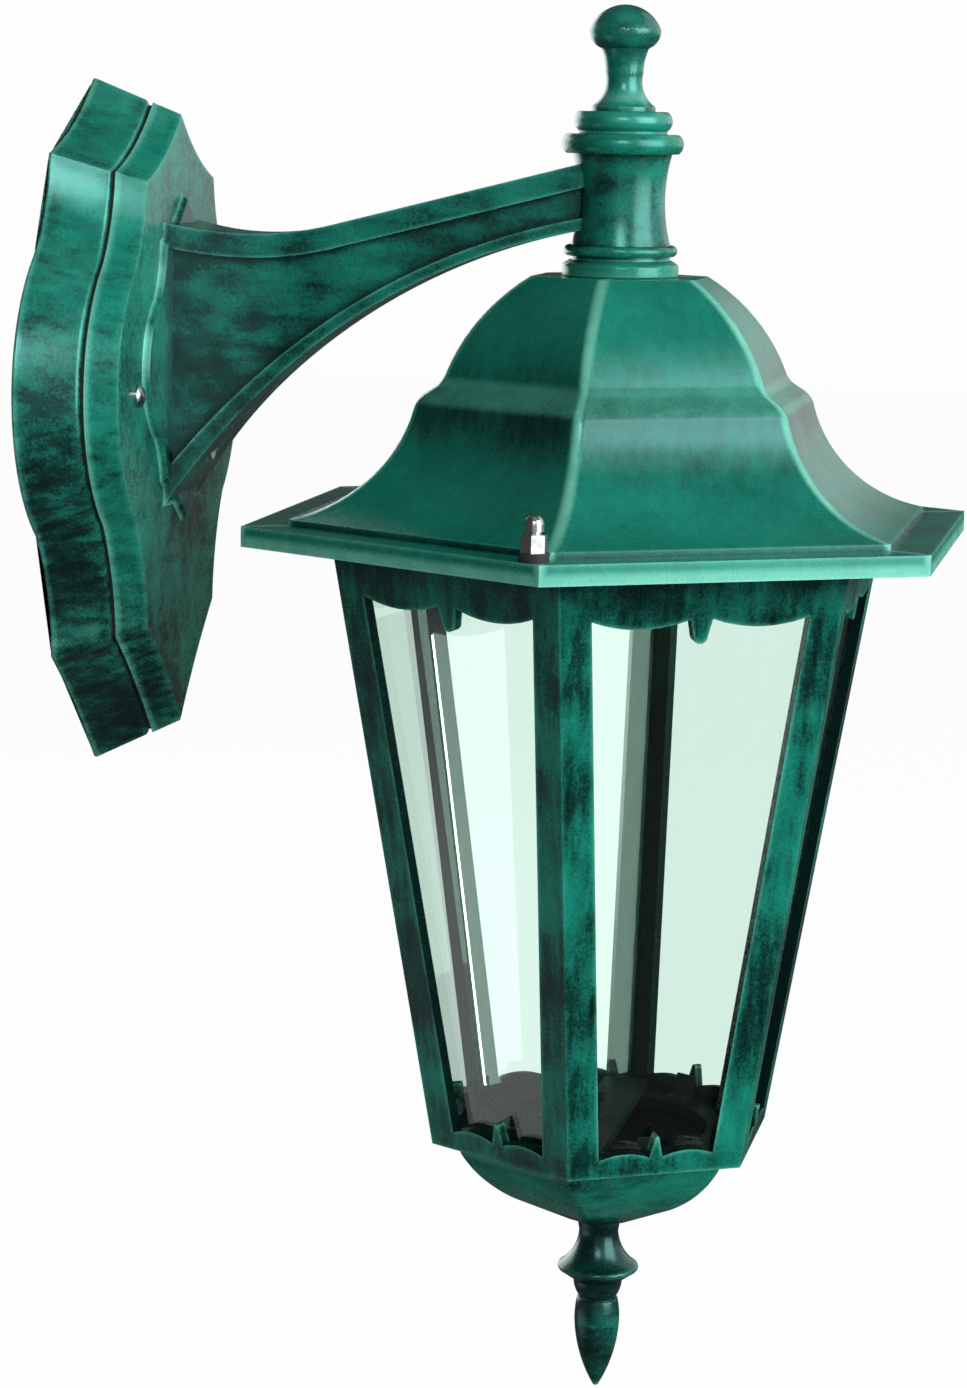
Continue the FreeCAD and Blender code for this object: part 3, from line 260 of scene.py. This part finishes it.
def patinaEnamel(name, look):
    material, start = newMaterial(name)
    place = millimetres(start)
    marks = {}
    brushed = 0.0
    for mark, (size, detail, harshness, weight) in brushMarks.items():
        stretch = look["brush"] if mark == "strokes" else (1, 1, 1)
        marks[mark] = noise(place, size, detail, harshness, stretch)
        brushed = (marks[mark] - 0.5) * weight + brushed
    blotches, strokes, grain = marks["blotches"], marks["strokes"], marks["grain"]
    edge = closeness(start, look["edge"], within=True)
    corner = closeness(start, look["corner"], within=False)
    rub = look["cover"] + brushed * look["mottle"]
    rub = rub + edge * patina["edgeGain"] - corner * patina["cornerLoss"]
    worn = edge.ramp(*patina["wornFrom"]) * (0.3 + blotches * 0.8)
    if "ridges" in look:
        # hips, step and lip rubbed pale, the lip with a painted highlight; painted shade darkens the paint
        # under the step
        raised, shade = roofRidges(place)
        rub = rub + raised * patina["edgeGain"] - shade
        worn = worn + raised * (0.35 + blotches * 0.7)
    # painted shade: darker towards the bottom of the wall plate
    if "lowPaintedShade" in look:
        span = {"low": -patina["lowSpan"], "high": patina["lowSpan"]}
        rub = rub - place.along("Z").ramp(*patina["lowPaintedShade"], **span) * look["lowPaintedShade"]
    # painted shade inside the cage
    if "hollow" in look:
        rub = rub - paintedInsideShade(start, place) * patina["insideShadeLoss"]
    rub = rub.limited()
    body = rub.ramp(*patina["deepFrom"]).mix(patina["black"], patina["deep"])
    body = rub.ramp(*patina["greenFrom"]).mix(body, patina["green"])
    roughness = patina["roughness"] + (blotches - 0.5) * 0.15 + (grain - 0.5) * 0.1
    relief = blotches * 0.5 + grain * 0.3 + strokes * 0.3
    surface = start.node("ShaderNodeBsdfPrincipled", {}, {
        "Base Color": ((worn * rub).limited() * patina["mintShare"]).mix(body, patina["mint"]),
        "Roughness": roughness.limited(),
        "Normal": bumpFrom(relief, 0.2, 0.3),
        "Specular IOR Level": look["gloss"],
        "Specular Tint": (*patina["sheen"], 1),
    })
    return finishMaterial(material, start, surface)


glass = {"tint": (0.88, 1.0, 0.945), "shadow": (0.86, 0.96, 0.91), "ior": 1.45, "haze": 0.03}


def clearGlass():
    material, start = newMaterial("clearGlass")
    dust = noise(millimetres(start), 9)
    pane = start.node("ShaderNodeBsdfPrincipled", {}, {
        "Base Color": (*glass["tint"], 1),
        "Transmission Weight": 1.0,
        "IOR": glass["ior"],
        "Roughness": (dust.ramp((0.5, 0), (0.9, 1)) * glass["haze"]).limited(),
    })
    tinted = start.node("ShaderNodeBsdfTransparent", {}, {"Color": (*glass["shadow"], 1)})
    bounced = ray(start, "Is Glossy Ray") * (1 - ray(start, "Is Transmission Ray"))
    passing = ray(start, "Is Shadow Ray") + ray(start, "Is Diffuse Ray") + bounced  # goes straight through
    return finishMaterial(material, start, passing.limited().mixShader(pane, tinted))


def plainMetal(name, colour, dull, roughness, scratch):
    material, start = newMaterial(name)
    place = millimetres(start)
    stains = noise(place, 2.4)
    lines = noise(place, 0.35, 3, 0.6, (1, 0.15, 1))
    surface = start.node("ShaderNodeBsdfPrincipled", {}, {
        "Base Color": stains.ramp((0.35, 0), (0.75, 1)).mix(colour, dull),
        "Metallic": 1.0,
        "Roughness": (roughness + (stains - 0.5) * 0.2 + (lines - 0.5) * scratch).limited(),
        "Normal": bumpFrom(lines, 0.02, 0.4),
    })
    return finishMaterial(material, start, surface)


def plainMoulded(name, colour, worn, roughness, grainSize):
    material, start = newMaterial(name)
    place = millimetres(start)
    grain = noise(place, grainSize, 3)
    clouds = noise(place, 14, 3)
    surface = start.node("ShaderNodeBsdfPrincipled", {}, {
        "Base Color": (clouds.ramp((0.35, 0), (0.75, 1)) * 0.6).mix(colour, worn),
        "Roughness": (roughness + (clouds - 0.5) * 0.15).limited(),
        "Normal": bumpFrom(grain, 0.05, 0.5),
    })
    return finishMaterial(material, start, surface)


finishes = {
    "clear_glass": clearGlass(),
    "bright_steel": plainMetal("brightSteel", (0.56, 0.58, 0.57), (0.34, 0.36, 0.36), 0.24, 0.1),
    "zinc_steel": plainMetal("zincSteel", (0.60, 0.61, 0.62), (0.40, 0.42, 0.44), 0.36, 0.2),
    "black_steel": plainMoulded("blackSteel", (0.004, 0.010, 0.009), (0.012, 0.026, 0.023), 0.4, 0.6),
    "brass": plainMetal("brass", (0.78, 0.56, 0.22), (0.52, 0.35, 0.13), 0.28, 0.15),
    "black_rubber": plainMoulded("blackRubber", (0.010, 0.011, 0.011), (0.028, 0.030, 0.030), 0.75, 0.5),
    "black_plastic": plainMoulded("blackPlastic", (0.014, 0.014, 0.015), (0.030, 0.030, 0.032), 0.42, 0.7),
    "white_plastic": plainMoulded("whitePlastic", (0.78, 0.78, 0.75), (0.66, 0.65, 0.60), 0.4, 0.8),
    "white_ceramic": plainMoulded("whiteCeramic", (0.80, 0.79, 0.75), (0.70, 0.68, 0.62), 0.55, 0.4),
}
slotOf = {entry["node"]: entry["material_slot"] for entry in frame["record"]["subparts"]}
for nodeName, nodeObject in frame["nodes"].items():
    if nodeName in enamels:
        finish = patinaEnamel(nodeName + "_enamel", enamels[nodeName])
    else:
        finish = finishes[slotOf[nodeName]]
    for materialSlot in nodeObject.material_slots:
        materialSlot.material = finish
print("materials made:", len(finishes) + len(enamels))

# cast and turned pieces: each stands for its CAD node, with its edges rounded as a casting's are
castEdges = {  # edge width in millimetres and the angle in degrees from which an edge is rounded
    "wall_box": (1.0, 28),
    "front_plate": (1.0, 28),
    "arm": (0.9, 32),
    "neck_collar": (0.5, 30),
    "top_finial": (0.4, 32),
    "roof": (0.7, 30),
    "cage": (0.6, 30),
    "base_dish": (0.7, 30),
    "bottom_finial": (0.4, 32),
}
softHips = {  # width of the six hips, and the levels of rounded steps between the panels, in millimetres
    "roof": {"width": 2.0, "steps": (5.0, 0.7)},
    "base_dish": {"width": 1.6, "steps": ()},
}
casting = {  # lengths in millimetres and angles in degrees
    "joinReach": 0.002,
    "flatAngle": 0.4,
    "sliver": 0.001,
    "smoothAngle": 40,
    "edgeSegments": 3,
    "hipSegments": 4,
    "hipTurn": 0.3,  # how far an edge may be turned from a corner and still count as a hip
    "hipSlope": 0.05,  # least rise and least lean of a hip's edge
    "stepReach": 0.15,
}
axisPlace = Vector((0, axisReach, 0)) * mm
cornerAngle = 60


def atCorner(point):  # true on the line from the axis to one of the six corners
    turn = math.degrees(math.atan2(point.y, point.x))
    return abs(math.remainder(turn, cornerAngle)) < casting["hipTurn"]


def selectHips(mesh, steps):  # outer edges that run up the corners, or level along a step
    outward = {}
    for face in mesh.polygons:
        middle = face.center - axisPlace
        middle.z = 0
        for key in face.edge_keys:
            outward[key] = outward.get(key, True) and face.normal.dot(middle) > 0
    slope = casting["hipSlope"] * mm
    for edge in mesh.edges:
        first, second = (mesh.vertices[index].co - axisPlace for index in edge.vertices)
        leaning = abs(first.xy.length - second.xy.length) > slope
        rising = abs(first.z - second.z) > slope
        hip = atCorner(first) and atCorner(second) and leaning and rising
        offSteps = [max(abs(first.z / mm - step), abs(second.z / mm - step)) for step in steps]
        level = any(off < casting["stepReach"] for off in offSteps)
        edge.select = bool(outward.get(edge.key) and (hip or level))


def copyNode(nodeName):  # a copy of a CAD node, with its loose triangles merged into whole faces
    bpy.ops.object.select_all(action="DESELECT")
    source = frame["nodes"][nodeName]
    source.select_set(True)
    bpy.context.view_layer.objects.active = source
    bpy.ops.object.duplicate()
    piece = bpy.context.active_object
    piece.name = nodeName + "_cast"
    bpy.ops.object.mode_set(mode="EDIT")
    bpy.ops.mesh.select_mode(type="EDGE")
    bpy.ops.mesh.select_all(action="SELECT")
    bpy.ops.mesh.remove_doubles(threshold=casting["joinReach"] * mm)
    bpy.ops.mesh.dissolve_limited(angle_limit=math.radians(casting["flatAngle"]))
    bpy.ops.mesh.select_all(action="DESELECT")
    bpy.ops.object.mode_set(mode="OBJECT")
    return piece


def roundHips(piece, hips):
    selectHips(piece.data, hips["steps"])
    bpy.ops.object.mode_set(mode="EDIT")
    bpy.ops.mesh.bevel(offset=hips["width"] * mm, segments=casting["hipSegments"], affect="EDGES")
    bpy.ops.mesh.select_all(action="DESELECT")
    bpy.ops.object.mode_set(mode="OBJECT")


def settlePoints(mesh):  # a bevel at a small hole can leave points with no place: each takes a neighbour's
    lost = {point.index for point in mesh.vertices if math.isnan(point.co.length)}
    waiting = len(lost) + 1
    while len(lost) < waiting:
        waiting = len(lost)
        for first, second in mesh.edge_keys:
            if (first in lost) != (second in lost):
                point, neighbour = (first, second) if first in lost else (second, first)
                mesh.vertices[point].co = mesh.vertices[neighbour].co
                lost.discard(point)


def roundEdges(piece, width, angle):
    bevel = piece.modifiers.new("edges", "BEVEL")
    bevel.width = width * mm
    bevel.segments = casting["edgeSegments"]
    bevel.limit_method = "ANGLE"
    bevel.angle_limit = math.radians(angle)
    bpy.ops.object.modifier_apply(modifier=bevel.name)
    settlePoints(piece.data)
    bpy.ops.object.mode_set(mode="EDIT")
    bpy.ops.mesh.select_all(action="SELECT")
    bpy.ops.mesh.dissolve_degenerate(threshold=casting["sliver"] * mm)
    bpy.ops.mesh.delete_loose()
    bpy.ops.object.mode_set(mode="OBJECT")
    bpy.ops.object.shade_smooth_by_angle(angle=math.radians(casting["smoothAngle"]))
    weights = piece.modifiers.new("flats", "WEIGHTED_NORMAL")
    weights.keep_sharp = True
    bpy.ops.object.modifier_apply(modifier=weights.name)


for nodeName, (width, angle) in castEdges.items():
    piece = copyNode(nodeName)
    if nodeName in softHips:
        roundHips(piece, softHips[nodeName])
    roundEdges(piece, width, angle)
    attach(piece, "root")
    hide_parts(nodeName)
    print("cast piece:", piece.name, len(piece.data.polygons), "faces")

# floor, light and camera
studio = {
    "floorLevel": -0.46,
    "floorSize": 12.0,
    "floorColour": (0.66, 0.67, 0.66),
    "shadowShare": 0.03,  # how much of the floor's own shading the camera sees
    "aim": (0.0, -0.12, -0.08),
    "worldLevel": 0.05,
    "backdrop": 0.985,
    "mirrorLevel": 0.08,  # how bright floor and world are in what the paint and panes mirror
    "cardPlace": (-0.21, 0.58, 0.0),  # a white card on the floor, which the panes mirror
    "cardReach": (0.3, 0.45),
    "cardLevel": 0.9,
    "screenWay": (0.954, -0.3, 0.0),  # a pale screen on the far side, which the front plate mirrors
    "screenReach": (0.92, 0.97),
    "screenLevel": 0.75,
}
lamps = {  # place, size of the soft box in metres, power in watts
    "keyLamp": ((-0.66, -1.83, 0.43), 1.6, 46.0),
    "softLamp": ((-0.87, -1.36, 1.15), 0.9, 3.6),
    "edgeLamp": ((-1.31, -0.36, 0.67), 0.45, 6.5),
    "fillLamp": ((-1.70, -0.80, -0.10), 2.0, 5.0),
    "topLamp": ((-0.20, -0.25, 1.35), 0.8, 0.6),
    "rightLamp": ((1.00, -1.50, 0.70), 2.0, 11.0),
    "backLamp": ((1.25, 1.15, 0.10), 1.4, 18.0),
}
photoCamera = {  # fitted to the photo: place in millimetres, angles in degrees
    "place": (-904.2, -302.2, 75.2),
    "azimuth": -77.92,
    "elevation": 9.49,
    "roll": 0.93,
    "focalPixels": 3523.9,
    "framePixels": 1388,
    "sensor": 36.0,
}


def glow(start, shade):
    return start.node("ShaderNodeEmission", {}, {"Color": shade, "Strength": 1.0})


def makeFloor():
    material, start = newMaterial("paleFloor")
    through = ray(start, "Is Transmission Ray")
    seen = (ray(start, "Is Camera Ray") + through).limited() * (1 - studio["shadowShare"])
    mirrored = ray(start, "Is Glossy Ray") * (1 - through)
    near, far = studio["cardReach"]
    place = start.node("ShaderNodeTexCoord", {}, {}, "Object")
    away = place.vector("DISTANCE", studio["cardPlace"], "Value")
    card = away.ramp((near, studio["cardLevel"]), (far, studio["mirrorLevel"]))
    matt = start.node("ShaderNodeBsdfDiffuse", {}, {"Color": (*studio["floorColour"], 1)})
    surface = mirrored.mixShader(seen.mixShader(matt, glow(start, (1, 1, 1, 1))), glow(start, card))
    below = start.node("ShaderNodeNewGeometry", {}, {}, "Backfacing")  # from below, no floor shows
    surface = below.mixShader(surface, start.node("ShaderNodeBsdfTransparent"))
    finishMaterial(material, start, surface)
    bpy.ops.object.select_all(action="DESELECT")
    bpy.ops.mesh.primitive_plane_add(size=studio["floorSize"], location=(0, 0, studio["floorLevel"]))
    floor = bpy.context.active_object
    floor.name = "floor"
    floor.data.materials.append(material)


def makeWorld():
    world = bpy.data.worlds.new("studio")
    bpy.context.scene.world = world
    world.use_nodes = True
    world.node_tree.nodes.clear()
    start = Wire(world.node_tree)
    seen = (ray(start, "Is Camera Ray") + ray(start, "Is Transmission Ray")).limited()
    way = start.node("ShaderNodeTexCoord", {}, {}, "Generated")
    towards = way.vector("DOT_PRODUCT", studio["screenWay"], "Value")
    edge, full = studio["screenReach"]
    screen = towards.ramp((edge, studio["mirrorLevel"]), (full, studio["screenLevel"]))
    level = studio["worldLevel"] + ray(start, "Is Glossy Ray") * (screen - studio["worldLevel"])
    level = level + seen * (studio["backdrop"] - level)
    sky = start.node("ShaderNodeBackground", {}, {"Color": (1, 1, 1, 1), "Strength": level})
    start.node("ShaderNodeOutputWorld", {}, {"Surface": sky})


def makeLamps():
    for name, (place, size, power) in lamps.items():
        light = bpy.data.lights.new(name, "AREA")
        light.size = size
        light.energy = power
        lamp = bpy.data.objects.new(name, light)
        lamp.location = place
        lamp.rotation_euler = (Vector(studio["aim"]) - Vector(place)).to_track_quat("-Z", "Y").to_euler()
        bpy.context.scene.collection.objects.link(lamp)


def makeCamera():
    azimuth, elevation, roll = (math.radians(photoCamera[name]) for name in ("azimuth", "elevation", "roll"))
    level = Vector((math.cos(azimuth), math.sin(azimuth), 0))
    ahead = Vector((math.sin(azimuth), -math.cos(azimuth), 0))
    back = ahead * math.cos(elevation) + Vector((0, 0, math.sin(elevation)))
    upright = back.cross(level)
    right = level * math.cos(roll) + upright * math.sin(roll)
    up = upright * math.cos(roll) - level * math.sin(roll)
    lens = bpy.data.cameras.new("photoCamera")
    lens.sensor_fit = "VERTICAL"
    lens.sensor_height = photoCamera["sensor"]
    lens.lens = photoCamera["sensor"] * photoCamera["focalPixels"] / photoCamera["framePixels"]
    camera = bpy.data.objects.new("photoCamera", lens)
    turn = Matrix((right, up, back)).transposed().to_4x4()
    camera.matrix_world = Matrix.Translation(Vector(photoCamera["place"]) * mm) @ turn
    bpy.context.scene.collection.objects.link(camera)
    bpy.context.scene.camera = camera


makeFloor()
makeWorld()
makeLamps()
makeCamera()
bpy.context.scene.view_settings.view_transform = "Standard"
print("studio ready")
